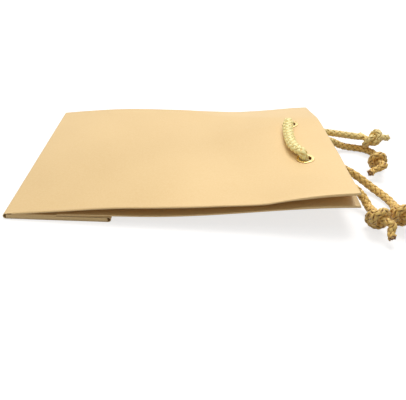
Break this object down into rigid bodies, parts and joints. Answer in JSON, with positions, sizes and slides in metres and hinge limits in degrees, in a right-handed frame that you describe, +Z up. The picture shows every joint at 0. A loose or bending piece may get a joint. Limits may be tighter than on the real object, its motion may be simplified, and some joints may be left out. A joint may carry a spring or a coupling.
{
  "type": "paper shopping bag",
  "caption": "Paper shopping bag, folded flat, with a block bottom folded under it, metal eyelets and braided rope handles packed inside, their knotted ends hanging out of the mouth.",
  "frame": {"origin": "on the floor under the middle of the folded bag, without its ropes", "axes": "+X from the bottom fold towards the mouth, +Y across the bag, +Z up from the floor on which it lies"},
  "size_m": [0.256, 0.164, 0.0276],
  "materials": {
    "bag_paper": "pearl-gold coated paper, satin",
    "rim_card": "plain grey card",
    "base_card": "plain grey card",
    "eyelet_brass": "polished",
    "rope_braid": "gold-coloured solid braid with a soft sheen"
  },
  "bodies": {
    "root": {"bag_body": "bag_paper", "rim_card_upper": "rim_card", "rim_card_lower": "rim_card", "base_board": "base_card", "eyelet_upper_back": "eyelet_brass", "eyelet_upper_front": "eyelet_brass", "eyelet_lower_back": "eyelet_brass", "eyelet_lower_front": "eyelet_brass", "rope_upper": "rope_braid", "rope_lower": "rope_braid", "knot_upper_back": "rope_braid", "knot_upper_front": "rope_braid", "knot_lower_back": "rope_braid", "knot_lower_front": "rope_braid"}
  },
  "joints": []
}
